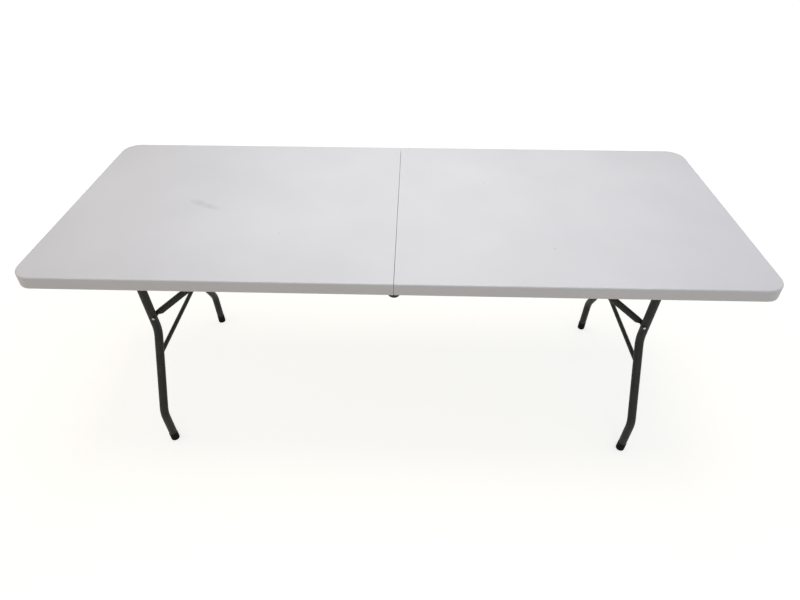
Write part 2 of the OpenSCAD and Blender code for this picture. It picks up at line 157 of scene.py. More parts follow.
def clouded(tree, place, size_mm, detail, dark, light):
    """A colour that drifts between two shades in clouds about size_mm across."""
    cloud = node_in(tree, "ShaderNodeTexNoise", Vector=place, Scale=across(size_mm), Detail=detail)
    share = node_in(tree, "ShaderNodeMapRange", Value=cloud.outputs["Fac"], **NOISE_RANGE)
    return node_in(tree, "ShaderNodeMix", COLOURS, Factor=share.outputs["Result"],
                   i6=srgb(dark), i7=srgb(light)).outputs[2]


def uneven(tree, place, size_mm, detail, low, high):
    """A value that varies from low to high over patches about size_mm across."""
    patches = node_in(tree, "ShaderNodeTexNoise", Vector=place, Scale=across(size_mm),
                      Detail=detail)
    return node_in(tree, "ShaderNodeMapRange", Value=patches.outputs["Fac"], To_Min=low,
                   To_Max=high, **NOISE_RANGE).outputs["Result"]


def fine_grain(tree, place, skin, size_mm, depth_mm, strength):
    """Gives a surface a fine grain about size_mm across and depth_mm deep."""
    peaks = node_in(tree, "ShaderNodeTexNoise", Vector=place, Scale=across(size_mm))
    relief = node_in(tree, "ShaderNodeBump", Height=peaks.outputs["Fac"], Strength=strength,
                     Distance=depth_mm * MM)
    link(tree, relief.outputs["Normal"], skin.inputs["Normal"])


# Marks on the top surface: centre and half size in millimetres, and turn in degrees
SCUFFS = [((-552, -10, 740), (38, 15, 8), -28), ((-520, -27, 740), (42, 14, 8), -24)]
SPECKS = [((396, -201, 740), (4, 4, 4), 0), ((250, 120, 740), (3, 3, 4), 0),
          ((-300, -150, 740), (3, 3, 4), 0)]


def polyethylene():
    """High-density polyethylene, blow-moulded: a satin, slightly clouded pale grey with a
    fine leathery grain, drawn a little coarser than the real 0.5 mm so that it shows."""
    material, tree, skin, place = shader("blow_moulded_polyethylene")
    pale = clouded(tree, place, 240, 3.0, "#dddde0", "#e3e3e6")
    worn = marks(tree, place, SCUFFS)
    faint = node_in(tree, "ShaderNodeMath", TIMES, i0=worn, i1=0.5)
    streaked = node_in(tree, "ShaderNodeMath", TIMES, i0=faint.outputs[0],
                       i1=uneven(tree, place, 9, 3.0, 0.4, 1.0))
    scuffed = node_in(tree, "ShaderNodeMix", COLOURS, Factor=streaked.outputs[0], i6=pale,
                      i7=srgb("#b4b3b0"))
    dots = node_in(tree, "ShaderNodeMath", TIMES, i0=marks(tree, place, SPECKS), i1=0.6)
    speckled = node_in(tree, "ShaderNodeMix", COLOURS, Factor=dots.outputs[0],
                       i6=scuffed.outputs[2], i7=srgb("#a8a7a4"))
    link(tree, speckled.outputs[2], skin.inputs["Base Color"])
    duller = node_in(tree, "ShaderNodeMath", TIMES, i0=worn, i1=0.2)
    rough = node_in(tree, "ShaderNodeMath", PLUS, i0=uneven(tree, place, 60, 4.0, 0.42, 0.52),
                    i1=duller.outputs[0])
    link(tree, rough.outputs[0], skin.inputs["Roughness"])
    fine = node_in(tree, "ShaderNodeTexNoise", Vector=place, Scale=across(1.4), Detail=3.0,
                   Roughness=0.6)
    waves = node_in(tree, "ShaderNodeTexNoise", Vector=place, Scale=across(45), Detail=1.0)
    deep = node_in(tree, "ShaderNodeMath", TIMES, i0=waves.outputs["Fac"], i1=2.0)
    height = node_in(tree, "ShaderNodeMath", PLUS, i0=fine.outputs["Fac"], i1=deep.outputs[0])
    relief = node_in(tree, "ShaderNodeBump", Height=height.outputs[0], Strength=0.5,
                     Distance=0.03 * MM)
    link(tree, relief.outputs["Normal"], skin.inputs["Normal"])
    skin.inputs["IOR"].default_value = 1.54
    return material


def powder_coat():
    """Polyester powder coat on steel: dark warm grey, satin, with a soft orange peel and
    a few small rubbed spots."""
    material, tree, skin, place = shader("powder_coated_steel")
    spots = node_in(tree, "ShaderNodeTexNoise", Vector=place, Scale=across(7), Detail=5.0,
                    Roughness=0.7)
    rubbed = node_in(tree, "ShaderNodeMapRange", Value=spots.outputs["Fac"], From_Min=0.66,
                     From_Max=0.8, To_Max=0.5)
    coat = node_in(tree, "ShaderNodeMix", COLOURS, Factor=rubbed.outputs["Result"],
                   i6=clouded(tree, place, 35, 4.0, "#272824", "#32332d"), i7=srgb("#484842"))
    link(tree, coat.outputs[2], skin.inputs["Base Color"])
    link(tree, uneven(tree, place, 12, 2.0, 0.48, 0.62), skin.inputs["Roughness"])
    fine_grain(tree, place, skin, 2.2, 0.08, 0.4)
    skin.inputs["IOR"].default_value = 1.5
    skin.inputs["Specular IOR Level"].default_value = 0.22
    return material


def black_plastic():
    """Polypropylene, injection-moulded: near black, with a fine matt grain."""
    material, tree, skin, place = shader("black_polypropylene")
    link(tree, clouded(tree, place, 8, 4.0, "#0f0f0f", "#171716"), skin.inputs["Base Color"])
    link(tree, uneven(tree, place, 5, 2.0, 0.5, 0.62), skin.inputs["Roughness"])
    fine_grain(tree, place, skin, 0.8, 0.04, 0.5)
    skin.inputs["IOR"].default_value = 1.49
    skin.inputs["Specular IOR Level"].default_value = 0.06
    return material


def zinc():
    """Zinc-plated steel, cold-headed: bright, slightly clouded metal."""
    material, tree, skin, place = shader("zinc_plated_steel")
    skin.inputs["Metallic"].default_value = 1.0
    link(tree, clouded(tree, place, 3, 4.0, "#a2a3a3", "#bcbdbc"), skin.inputs["Base Color"])
    link(tree, uneven(tree, place, 1.2, 2.0, 0.25, 0.42), skin.inputs["Roughness"])
    fine_grain(tree, place, skin, 1.0, 0.02, 0.3)
    return material


FINISHES = {"top_plastic": polyethylene(), "grey_steel": powder_coat(),
            "foot_plastic": black_plastic(), "bright_zinc": zinc()}
SLOT_OF = {part["node"]: part["material_slot"] for part in frame["record"]["subparts"]}


def finish_cad_nodes():
    for name, piece in NODES.items():
        piece.data.materials.clear()
        piece.data.materials.append(FINISHES[SLOT_OF[name]])


finish_cad_nodes()


# ---------------------------------------------------------- mesh helpers

SHARP_ANGLE = math.radians(38)


def piece_from(bm, name, side, row, body, slot, *stands_for):
    """Mirrors a mesh to its side and row and makes an object of it, which gets its slot's
    finish and rides on its body."""
    bmesh.ops.scale(bm, vec=(SIDES[side], ROWS[row], 1), verts=bm.verts)
    bmesh.ops.recalc_face_normals(bm, faces=bm.faces)
    mesh = bpy.data.meshes.new(name)
    bm.to_mesh(mesh)
    bm.free()
    mesh.shade_smooth()
    mesh.set_sharp_from_angle(angle=SHARP_ANGLE)
    mesh.materials.append(FINISHES[slot])
    piece = bpy.data.objects.new(name, mesh)
    bpy.context.scene.collection.objects.link(piece)
    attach(piece, body)
    if stands_for:
        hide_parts(*stands_for)
    return piece


def near(a, b, slack=1e-5):
    return abs(a - b) < slack


def edges_where(bm, test):
    """The edges of whose two ends the test holds."""
    return [e for e in bm.edges if all(test(v.co) for v in e.verts)]


def merge_into(bm, part, place=None):
    """Adds a mesh to another, moved by a matrix where one is given."""
    if place is not None:
        part.transform(place)
    mesh = bpy.data.meshes.new("part")
    part.to_mesh(mesh)
    part.free()
    bm.from_mesh(mesh)
    bpy.data.meshes.remove(mesh)


def both_rows(bm):
    """Doubles a mesh across the middle of the table."""
    other = bm.copy()
    bmesh.ops.scale(other, vec=(1, -1, 1), verts=other.verts)
    bmesh.ops.reverse_faces(other, faces=other.faces)
    merge_into(bm, other)


def ring(radius, height, steps=32):
    """A circle of points about +Z."""
    angles = [2 * math.pi * i / steps for i in range(steps)]
    return [Vector((radius * math.cos(a), radius * math.sin(a), height)) for a in angles]


def loft(bm, rings, closed=False, caps=(True, True)):
    """Skins a row of rings that have as many points each; an open row gets end caps."""
    rows = [[bm.verts.new(p) for p in points] for points in rings]
    pairs = list(zip(rows, rows[1:]))
    if closed:
        pairs.append((rows[-1], rows[0]))
    for a, b in pairs:
        for i in range(len(a)):
            j = (i + 1) % len(a)
            bm.faces.new((a[i], a[j], b[j], b[i]))
    if not closed:
        for cap, row in zip(caps, (rows[0], rows[-1])):
            if cap:
                bm.faces.new(row)
    return rows


def lathe(bm, profile, place, steps=32):
    """Spins a profile of (radius, height) about +Z, closes its ends and places it by a matrix."""
    part = bmesh.new()
    line = [part.verts.new((r, 0, h)) for r, h in profile]
    for a, b in zip(line, line[1:]):
        part.edges.new((a, b))
    bmesh.ops.spin(part, geom=part.verts[:] + part.edges[:], cent=(0, 0, 0), axis=(0, 0, 1),
                   angle=2 * math.pi, steps=steps, use_merge=True)
    bmesh.ops.holes_fill(part, edges=[e for e in part.edges if e.is_boundary])
    merge_into(bm, part, place)


ALONG_Y = Matrix.Rotation(-math.pi / 2, 4, "X")


def facing(x, y, z, outward=True):
    """The place of something turned about +Z, such as a rivet, whose head faces +Y or -Y."""
    turn = ALONG_Y if outward else Matrix.Rotation(math.pi / 2, 4, "X")
    return Matrix.Translation((x, y, z)) @ turn


def domed_head(radius, height, shank):
    """The profile of a domed rivet head and its shank below it."""
    return [(shank, -2 * height), (shank, 0), (radius * 0.96, 0), (radius, height * 0.12),
            (radius * 0.97, height * 0.35), (radius * 0.82, height * 0.68),
            (radius * 0.55, height * 0.92), (radius * 0.2, height)]


def sheet(outline, y0, y1, edge):
    """A flat sheet with its outline in the XZ plane, from y0 to y1, and rounded edges."""
    bm = bmesh.new()
    face = bm.faces.new([bm.verts.new((x, y0, z)) for x, z in outline])
    made = bmesh.ops.extrude_face_region(bm, geom=[face], use_keep_orig=True)
    moved = [g for g in made["geom"] if isinstance(g, bmesh.types.BMVert)]
    bmesh.ops.translate(bm, vec=(0, y1 - y0, 0), verts=moved)
    rims = edges_where(bm, lambda c: near(c.y, y0)) + edges_where(bm, lambda c: near(c.y, y1))
    bmesh.ops.bevel(bm, geom=rims, affect="EDGES", offset=edge, segments=2, profile=0.5,
                    material=-1, clamp_overlap=True)
    return bm


def arc(cx, cz, r, start_deg, end_deg, steps=12):
    angles = [math.radians(start_deg + (end_deg - start_deg) * i / steps) for i in range(steps + 1)]
    return [(cx + r * math.cos(a), cz + r * math.sin(a)) for a in angles]


def smooth(low, high, x):
    """0 below low, 1 above high, and an easy slope between."""
    t = min(max((x - low) / (high - low), 0), 1)
    return t * t * (3 - 2 * t)


# ------------------------------------------------- places from the model

JOINTS = {joint["name"]: Vector(joint["pos_m"]) for joint in frame["joints"]}
MOUNTS = {mount["name"]: Vector(mount["pos_m"]) for mount in frame["record"]["mounts"]}
HINGE = JOINTS["centre_fold"]
PIVOT = JOINTS["right_leg_fold"]
KNEE = JOINTS["right_brace_turn"]
HANGER = JOINTS["right_link_turn"]
FOOT = MOUNTS["foot_far_right"]
LEAN = math.atan2(FOOT.x - PIVOT.x, PIVOT.z)
BRACE_ANGLE = math.atan2(HANGER.z - KNEE.z, KNEE.x - HANGER.x)


def middle(node):
    low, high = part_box(node)
    return (low + high) / 2


def frame_body(node):
    """The body that one of the model's pieces rides on."""
    bodies = frame["record"]["behaviour"]["bodies"]
    return next(body for body, members in bodies.items() if node in members)


ELBOW = middle("release_rod_right")


# ------------------------------------------------------------------- top

CORNER_R = 50 * MM
PANEL = 12 * MM
RIM_DRAFT = 1 * MM
# The lip turns its corners on a smaller radius than the top edge does
LIP_CORNER_R = 38 * MM
LIP = 14 * MM
SEAM_RIB = 8 * MM
TOP_EDGE_R = 4 * MM
LIP_R = 4 * MM
SEAM_EDGE_R = 1.2 * MM
WELL_DRAFT = 1.5 * MM
# Kiss-offs: conical pits where the underside is pressed up against the top skin
PIT_PITCH = 50 * MM
PIT_ROW_PITCH = 49 * MM
PIT_R = 15 * MM
PIT_FLOOR_R = 9 * MM
PIT_DEPTH = 7 * MM
PIT_EDGE = 1.5 * MM
PIT_EDGE_DEPTH = 0.9 * MM
PIT_STEPS = 16
PIT_FIRST_X = 26 * MM
PIT_COLUMNS = 16
PIT_HALF_ROWS = 6


def rounded_half(low, high):
    """A flat face with the two outer corners rounded, at the height of the top surface."""
    bm = bmesh.new()
    centre = (low + high) / 2
    bmesh.ops.create_grid(bm, x_segments=1, y_segments=1, size=0.5)
    bmesh.ops.scale(bm, vec=(high.x - low.x, high.y - low.y, 1), verts=bm.verts)
    bmesh.ops.translate(bm, vec=(centre.x, centre.y, high.z), verts=bm.verts)
    corners = [v for v in bm.verts if near(v.co.x, high.x)]
    bmesh.ops.bevel(bm, geom=corners, affect="VERTICES", offset=CORNER_R, segments=24,
                    profile=0.5, material=-1)
    return bm


def face_at(bm, z):
    """The largest level face at height z."""
    level = [f for f in bm.faces if near(f.calc_center_median().z, z) and abs(f.normal.z) > 0.9]
    return max(level, key=lambda f: f.calc_area())


def pit(bm, corners, centre):
    """One square of the underside with a conical pit pressed into it."""
    quarter = PIT_STEPS // 4
    rows = []
    for radius, depth in ((PIT_R, 0), (PIT_R - PIT_EDGE, PIT_EDGE_DEPTH),
                          (PIT_FLOOR_R + PIT_EDGE, PIT_DEPTH - PIT_EDGE_DEPTH),
                          (PIT_FLOOR_R, PIT_DEPTH)):
        rows.append([bm.verts.new(centre + Vector((p.x, p.y, depth)))
                     for p in ring(radius, 0, PIT_STEPS)])
    for a, b in zip(rows, rows[1:]):
        for i in range(PIT_STEPS):
            j = (i + 1) % PIT_STEPS
            bm.faces.new((a[i], a[j], b[j], b[i]))
    bm.faces.new(rows[-1])
    mouth = rows[0]
    for k, corner in enumerate(corners):
        for i in range(k * quarter, (k + 1) * quarter):
            bm.faces.new((corner, mouth[i], mouth[(i + 1) % PIT_STEPS]))
        bm.faces.new((corner, mouth[(k + 1) * quarter % PIT_STEPS], corners[(k + 1) % 4]))


def underside(bm, z):
    """Replaces the flat underside of the panel by a field of pits and a plain border."""
    bmesh.ops.delete(bm, geom=[face_at(bm, z)], context="FACES_ONLY")
    border = [e for e in bm.edges if e.is_boundary]
    grid = {}
    for i in range(PIT_COLUMNS + 1):
        for j in range(-PIT_HALF_ROWS, PIT_HALF_ROWS + 1):
            at = (PIT_FIRST_X + i * PIT_PITCH, j * PIT_ROW_PITCH, z)
            grid[i, j] = bm.verts.new(at)
    for i in range(PIT_COLUMNS):
        for j in range(-PIT_HALF_ROWS, PIT_HALF_ROWS):
            corners = [grid[i + 1, j + 1], grid[i, j + 1], grid[i, j], grid[i + 1, j]]
            centre = sum((c.co for c in corners), Vector()) / 4
            pit(bm, corners, centre)
    outer = set(border)
    field = [e for e in bm.edges if e.is_boundary and e not in outer and near(e.verts[0].co.z, z)
             and near(e.verts[1].co.z, z)]
    bmesh.ops.triangle_fill(bm, use_beauty=True, use_dissolve=False, edges=border + field)


def square_up(verts, high):
    """Moves the points of the two outer corners from the top's radius to the lip's."""
    shrink = LIP_CORNER_R / CORNER_R
    for v in verts:
        past_x = v.co.x - (high.x - CORNER_R)
        past_y = abs(v.co.y) - (high.y - CORNER_R)
        if past_x >= 0 and past_y >= 0:
            v.co.x = high.x - LIP_CORNER_R + past_x * shrink
            v.co.y = math.copysign(high.y - LIP_CORNER_R + past_y * shrink, v.co.y)


def top_shell(side):
    """One half of the top: a flat panel with a drafted rim, a rounded lip and a well under it."""
    low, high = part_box("top_right")
    bm = rounded_half(low, high)
    made = bmesh.ops.extrude_face_region(bm, geom=bm.faces[:], use_keep_orig=True)
    lip_verts = [g for g in made["geom"] if isinstance(g, bmesh.types.BMVert)]
    bmesh.ops.translate(bm, vec=(0, 0, low.z - high.z), verts=lip_verts)
    square_up(lip_verts, high)
    draft = (1 - RIM_DRAFT / (high.x - low.x), 1 - RIM_DRAFT / high.y, 1)
    bmesh.ops.scale(bm, vec=draft, space=Matrix.Translation((-low.x, 0, 0)), verts=lip_verts)
    bmesh.ops.recalc_face_normals(bm, faces=bm.faces)
    under = face_at(bm, low.z)
    bmesh.ops.inset_region(bm, faces=[under], thickness=LIP, use_even_offset=True)
    under = face_at(bm, low.z)
    inner = min(v.co.x for v in under.verts)
    for v in under.verts:
        if near(v.co.x, inner):
            v.co.x = low.x + SEAM_RIB
    bmesh.ops.inset_region(bm, faces=[under], thickness=WELL_DRAFT,
                           depth=-(high.z - PANEL - low.z), use_even_offset=True)
    underside(bm, high.z - PANEL)
    at_seam = set(edges_where(bm, lambda c: near(c.x, low.x)))
    top_rim = [e for e in edges_where(bm, lambda c: near(c.z, high.z)) if e not in at_seam]
    lip = [e for e in edges_where(bm, lambda c: near(c.z, low.z)) if e not in at_seam
           and len({round(f.normal.z, 3) for f in e.link_faces}) > 1]
    bmesh.ops.bevel(bm, geom=top_rim, affect="EDGES", offset=TOP_EDGE_R, segments=4, profile=0.5,
                    material=-1, clamp_overlap=True)
    bmesh.ops.bevel(bm, geom=[e for e in lip if e.is_valid], affect="EDGES", offset=LIP_R, segments=4,
                    profile=0.5, material=-1, clamp_overlap=True)
    seam = [e for e in edges_where(bm, lambda c: near(c.x, low.x) and near(c.z, high.z))
            if e.calc_length() > CORNER_R]
    bmesh.ops.bevel(bm, geom=seam, affect="EDGES", offset=SEAM_EDGE_R, segments=2, profile=0.5,
                    material=-1, clamp_overlap=True)
    piece = piece_from(bm, "top_shell_" + side, side, "far", side + "_half", "top_plastic",
                       "top_" + side)
    weighted = piece.modifiers.new("even_shading", "WEIGHTED_NORMAL")
    weighted.keep_sharp = True
    return piece


for side in SIDES:
    top_shell(side)


# ------------------------------------------------------------------ rails

RAIL_CORNER_R = 2.5 * MM
RAIL_WALL = 1.5 * MM
SHEET_EDGE = 0.7 * MM


def box_ring(x, low, high, corner_r, steps=4):
    """A rectangle with round corners in the YZ plane at x."""
    points = []
    for k, (y, z) in enumerate(((high.y, high.z), (low.y, high.z), (low.y, low.z), (high.y, low.z))):
        cy = y - corner_r if y == high.y else y + corner_r
        cz = z - corner_r if z == high.z else z + corner_r
        points += [Vector((x, py, pz)) for py, pz in arc(cy, cz, corner_r, 90 * k, 90 * k + 90, steps)]
    return points


def rail(side, row):
    """A side rail: a square tube with rounded corners, open at both ends."""
    low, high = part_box("rail_far_right")
    wall = Vector((0, RAIL_WALL, RAIL_WALL))
    bm = bmesh.new()
    rings = [box_ring(low.x, low, high, RAIL_CORNER_R), box_ring(high.x, low, high, RAIL_CORNER_R),
             box_ring(high.x, low + wall, high - wall, RAIL_CORNER_R - RAIL_WALL),
             box_ring(low.x, low + wall, high - wall, RAIL_CORNER_R - RAIL_WALL)]
    loft(bm, rings, closed=True)
    node = f"rail_{row}_{side}"
    piece_from(bm, "tube_" + node, side, row, side + "_half", "grey_steel", node)


# ----------------------------------------------------------- centre hinge

HINGE_T = 3 * MM
HINGE_R = 16 * MM
PAD_X = HINGE_R + 8 * MM
PAD_DROP = 8 * MM
HINGE_TOP_GAP = 2 * MM
PIN_R = 4 * MM
PIN_HEAD_R = 7 * MM
PIN_HEAD_T = 2 * MM


def hinge_plate(side, row):
    """A hinge plate: a round knuckle and an arm along the rail. The right one has a pad behind it."""
    low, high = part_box(f"hinge_plate_far_{side}")
    rail_low, rail_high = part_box("rail_far_right")
    arm = max(high.x, -low.x)
    outline = arc(0, HINGE.z, HINGE_R, 90, 270) + [
        (rail_low.x + HINGE_R, rail_low.z), (arm, rail_low.z), (arm, rail_high.z - HINGE_TOP_GAP)]
    bm = sheet(outline, high.y - HINGE_T, high.y, SHEET_EDGE)
    if side == "right":
        pad = [(PAD_X, rail_low.z), (arm, rail_low.z), (arm, rail_high.z - PAD_DROP),
               (PAD_X, rail_high.z - PAD_DROP)]
        merge_into(bm, sheet(pad, low.y, high.y - HINGE_T, SHEET_EDGE / 2))
    node = f"hinge_plate_{row}_{side}"
    piece_from(bm, "pressed_" + node, side, row, side + "_half", "grey_steel", node)


def hinge_pin(row):
    """The hinge pin: a broad flat cap over the knuckles outside, and a domed head inside."""
    low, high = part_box("hinge_pin_far")
    radius = (high.z - low.z) / 2
    inner, outer = low.y + PIN_HEAD_T, high.y - PIN_HEAD_T
    bm = bmesh.new()
    cap = [(radius, 0), (radius, 0.5 * MM), (radius - 0.5 * MM, 1.1 * MM),
           (radius - 2 * MM, 1.6 * MM), (radius * 0.5, PIN_HEAD_T), (1 * MM, PIN_HEAD_T)]
    lathe(bm, cap, facing(0, outer, HINGE.z), 48)
    lathe(bm, domed_head(PIN_HEAD_R, PIN_HEAD_T, PIN_R), facing(0, inner, HINGE.z, outward=False))
    lathe(bm, [(PIN_R, 0), (PIN_R, outer - inner)], facing(0, inner, HINGE.z))
    body = frame_body("hinge_pin_" + row)
    piece_from(bm, "domed_hinge_pin_" + row, "right", row, body, "grey_steel", "hinge_pin_" + row)


HINGE_RIVET_HEAD_R = 5 * MM
HINGE_RIVET_HEAD_T = 1.5 * MM
HINGE_RIVET_R = 3 * MM


def hinge_rivets(side):
    low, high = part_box("hinge_rivets_right")
    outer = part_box(f"hinge_rivets_{side}")[1]
    z = middle("hinge_rivets_right").z
    bm = bmesh.new()
    for x in (low.x + HINGE_RIVET_HEAD_R, high.x - HINGE_RIVET_HEAD_R):
        lathe(bm, domed_head(HINGE_RIVET_HEAD_R, HINGE_RIVET_HEAD_T, HINGE_RIVET_R),
              facing(x, outer.y - HINGE_RIVET_HEAD_T, z))
    both_rows(bm)
    piece_from(bm, "domed_hinge_rivets_" + side, side, "far", side + "_half", "bright_zinc",
               "hinge_rivets_" + side)


# ----------------------------------------------------------------- screws

RECESS_ARM = 0.42
RECESS_HALF_W = 0.12
RECESS_DEPTH = 0.65


def screw(bm, place, radius, height):
    """A pan-head screw with a cross recess: its head stands up along +Z."""
    head = [(radius, 0), (radius, height * 0.3), (radius * 0.9, height * 0.7), (radius * 0.66, height)]
    rows = loft(bm, [[place @ p for p in ring(r, h, 24)] for r, h in head], caps=(True, False))
    a, w = RECESS_ARM * radius, RECESS_HALF_W * radius
    cross = [(a, w), (w, w), (w, a), (-w, a), (-w, w), (-a, w),
             (-a, -w), (-w, -w), (-w, -a), (w, -a), (w, -w), (a, -w)]
    floor = height * (1 - RECESS_DEPTH)
    rings = [[place @ Vector((x, y, height)) for x, y in cross],
             [place @ Vector((x * 0.7, y * 0.7, floor)) for x, y in cross]]
    mouth = loft(bm, rings, caps=(False, True))[0]
    edges = []
    for row in (rows[-1], mouth):
        edges += [bm.edges.get((row[i - 1], row[i])) for i in range(len(row))]
    bmesh.ops.triangle_fill(bm, use_beauty=True, use_dissolve=False, edges=edges)


RAIL_SCREWS = 4
BRACKET_SCREW_HEAD_R = 4.5 * MM


def rail_screws(side):
    low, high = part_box("rail_screws_right")
    rail_low, rail_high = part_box("rail_far_right")
    radius = high.y - (rail_low.y + rail_high.y) / 2
    y = high.y - radius
    bm = bmesh.new()
    for i in range(RAIL_SCREWS):
        x = low.x + radius + (high.x - low.x - 2 * radius) * i / (RAIL_SCREWS - 1)
        down = Matrix.Translation((x, y, rail_low.z)) @ Matrix.Rotation(math.pi, 4, "X")
        screw(bm, down, radius, rail_low.z - low.z)
    both_rows(bm)
    piece_from(bm, "pan_head_rail_screws_" + side, side, "far", side + "_half", "bright_zinc",
               "rail_screws_" + side)


def bracket_screws(side):
    low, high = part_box("bracket_screws_right")
    radius = BRACKET_SCREW_HEAD_R
    flange_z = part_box("link_bracket_far_right")[1].z - FLANGE_T
    bm = bmesh.new()
    for x in (low.x + radius, high.x - radius):
        down = Matrix.Translation((x, high.y - radius, flange_z)) @ Matrix.Rotation(math.pi, 4, "X")
        screw(bm, down, radius, flange_z - low.z)
    both_rows(bm)
    piece_from(bm, "pan_head_bracket_screws_" + side, side, "far", side + "_half", "bright_zinc",
               "bracket_screws_" + side)


# ------------------------------------------------------------- leg frames

LEG_R = 12.5 * MM
# The leg's middle line, from the pivot axis: its top, its waist and the slant below the waist
LEG_TOP_Y = 146 * MM
LEG_WAIST = Vector((0, 145, -342)) * MM
LEG_SLOPE = math.atan2(139, 236)
CAP_H = 32 * MM
CAP_RIBS = 3
CAP_FIRST_RIB = 8 * MM
CAP_RIB_PITCH = 6 * MM
BEAD_R = 1.7 * MM
BEAD_STEPS = 96
# The bead round the bar stays open where the bar runs past the side of the leg
BAR_WELD_FROM = math.radians(58)


def leg_frame():
    """The matrix of the right leg frame: its origin is the pivot axis and -Z runs down the leg."""
    return Matrix.Translation((PIVOT.x, 0, PIVOT.z)) @ Matrix.Rotation(-LEAN, 4, "Y")


def foot_cap(side, row):
    """A ribbed sleeve over the end of the leg, with a rounded edge on the floor."""
    low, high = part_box("foot_cap_far_right")
    radius = (high.y - low.y) / 2 - 0.2 * MM
    groove = radius - 0.55 * MM
    profile = [(1 * MM, 0), (radius - 2 * MM, 0), (radius - 0.9 * MM, 0.4 * MM),
               (radius - 0.2 * MM, 1.3 * MM), (radius, 2.6 * MM)]
    for i in range(CAP_RIBS):
        z = CAP_FIRST_RIB + i * CAP_RIB_PITCH
        profile += [(radius, z), (groove, z + 0.6 * MM), (groove, z + 2.4 * MM), (radius, z + 3 * MM)]
    profile += [(radius, CAP_H - 1.4 * MM), (radius - 0.3 * MM, CAP_H - 0.4 * MM),
                (LEG_R + 0.2 * MM, CAP_H), (LEG_R - 0.4 * MM, CAP_H - 0.3 * MM)]
    bm = bmesh.new()
    place = Matrix.Translation(FOOT) @ Matrix.Rotation(-LEAN, 4, "Y")
    lathe(bm, profile, place, 40)
    for v in bm.verts:
        v.co.z = max(v.co.z, 0)
    node = f"foot_cap_{row}_{side}"
    piece_from(bm, "ribbed_" + node, side, row, side + "_leg_frame", "foot_plastic", node)


def bead(bm, points, radius=BEAD_R, ripple=2.2 * MM):
    """A weld bead: a rippled tube along a line of points, thin at its ends."""
    rings, run, side_way = [], 0, None
    for i, p in enumerate(points):
        before, after = points[max(i - 1, 0)], points[min(i + 1, len(points) - 1)]
        along = (after - before).normalized()
        side_way = along.orthogonal() if side_way is None else side_way - along * side_way.dot(along)
        side_way.normalize()
        other = along.cross(side_way)
        run += (p - before).length
        ends = min(i, len(points) - 1 - i)
        r = radius * (1 + 0.13 * math.sin(2 * math.pi * run / ripple)) * min(1, 0.35 + 0.2 * ends)
        rings.append([p + side_way * (r * math.cos(2 * math.pi * k / 8))
                      + other * (r * math.sin(2 * math.pi * k / 8)) for k in range(8)])
    loft(bm, rings)


def welds(side):
    """Weld beads where the bar meets the legs and where the legs meet the pivot tube."""
    place = leg_frame()
    into = place.inverted()
    bar = into @ middle("cross_bar_right")
    bar_low, bar_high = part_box("cross_bar_right")
    bar_r = (bar_high.z - bar_low.z) / 2
    pivot_low, pivot_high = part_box("pivot_tube_right")
    pivot_r = (pivot_high.z - pivot_low.z) / 2
    bm = bmesh.new()
    leg_y = LEG_WAIST.y + (LEG_WAIST.z - bar.z) * math.tan(LEG_SLOPE)
    points = []
    for i in range(BEAD_STEPS):
        a = BAR_WELD_FROM + (2 * math.pi - 2 * BAR_WELD_FROM) * i / (BEAD_STEPS - 1)
        x, z = bar.x + bar_r * math.cos(a), bar_r * math.sin(a)
        wide = math.sqrt(LEG_R ** 2 - x * x)
        y = leg_y - (wide + z * math.sin(LEG_SLOPE)) / math.cos(LEG_SLOPE)
        points.append(place @ Vector((x, y, bar.z + z)))
    bead(bm, points)
    points = []
    for i in range(BEAD_STEPS):
        a = 2 * math.pi * i / (BEAD_STEPS - 1)
        x, z = pivot_r * math.cos(a), -pivot_r * abs(math.sin(a))
        hand = 1 if a < math.pi else -1
        points.append(place @ Vector((x, LEG_TOP_Y + hand * math.sqrt(LEG_R ** 2 - x * x), z)))
    bead(bm, points, BEAD_R * 1.15)
    both_rows(bm)
    piece_from(bm, "weld_beads_" + side, side, "far", side + "_leg_frame", "grey_steel")


RIVET_R = 4 * MM
RIVET_HEAD_T = 2 * MM
KNEE_HEAD_R = 3.9 * MM
KNEE_HEAD_T = 1.9 * MM
KNEE_INNER_HEAD_R = 6.5 * MM
KNEE_INNER_HEAD_T = 2.2 * MM
COLLAR_R = 6.6 * MM
INNER_COLLAR_H = 6 * MM
TONGUE_T = 4 * MM
TONGUE_GAP = 0.3 * MM


def knee_rivets(side):
    """The rivet through each leg: zinc heads, on dark collars that fit the round tube."""
    tongue_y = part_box("brace_far_right")[1].y
    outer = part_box("knee_rivets_right")[1].y - RIVET_HEAD_T
    inner = tongue_y - TONGUE_T
    heads, collars = bmesh.new(), bmesh.new()
    lathe(heads, domed_head(KNEE_HEAD_R, KNEE_HEAD_T, RIVET_R), facing(KNEE.x, outer, KNEE.z))
    lathe(heads, domed_head(KNEE_INNER_HEAD_R, KNEE_INNER_HEAD_T, RIVET_R),
          facing(KNEE.x, inner, KNEE.z, outward=False))
    seat = outer - LEG_R * 0.7
    deep = outer - seat
    lathe(collars, [(COLLAR_R, 0), (COLLAR_R, deep - 1 * MM), (COLLAR_R - 0.4 * MM, deep - 0.3 * MM),
                    (COLLAR_R - 1.2 * MM, deep)], facing(KNEE.x, seat, KNEE.z))
    lathe(collars, [(COLLAR_R, 0), (COLLAR_R, INNER_COLLAR_H)],
          facing(KNEE.x, tongue_y + TONGUE_GAP, KNEE.z))
    both_rows(heads)
    both_rows(collars)
    piece_from(heads, "domed_knee_rivets_" + side, side, "far", side + "_leg_frame", "bright_zinc",
               "knee_rivets_" + side)
    piece_from(collars, "knee_collars_" + side, side, "far", side + "_leg_frame", "grey_steel")


# ---------------------------------------------------------- brace and link

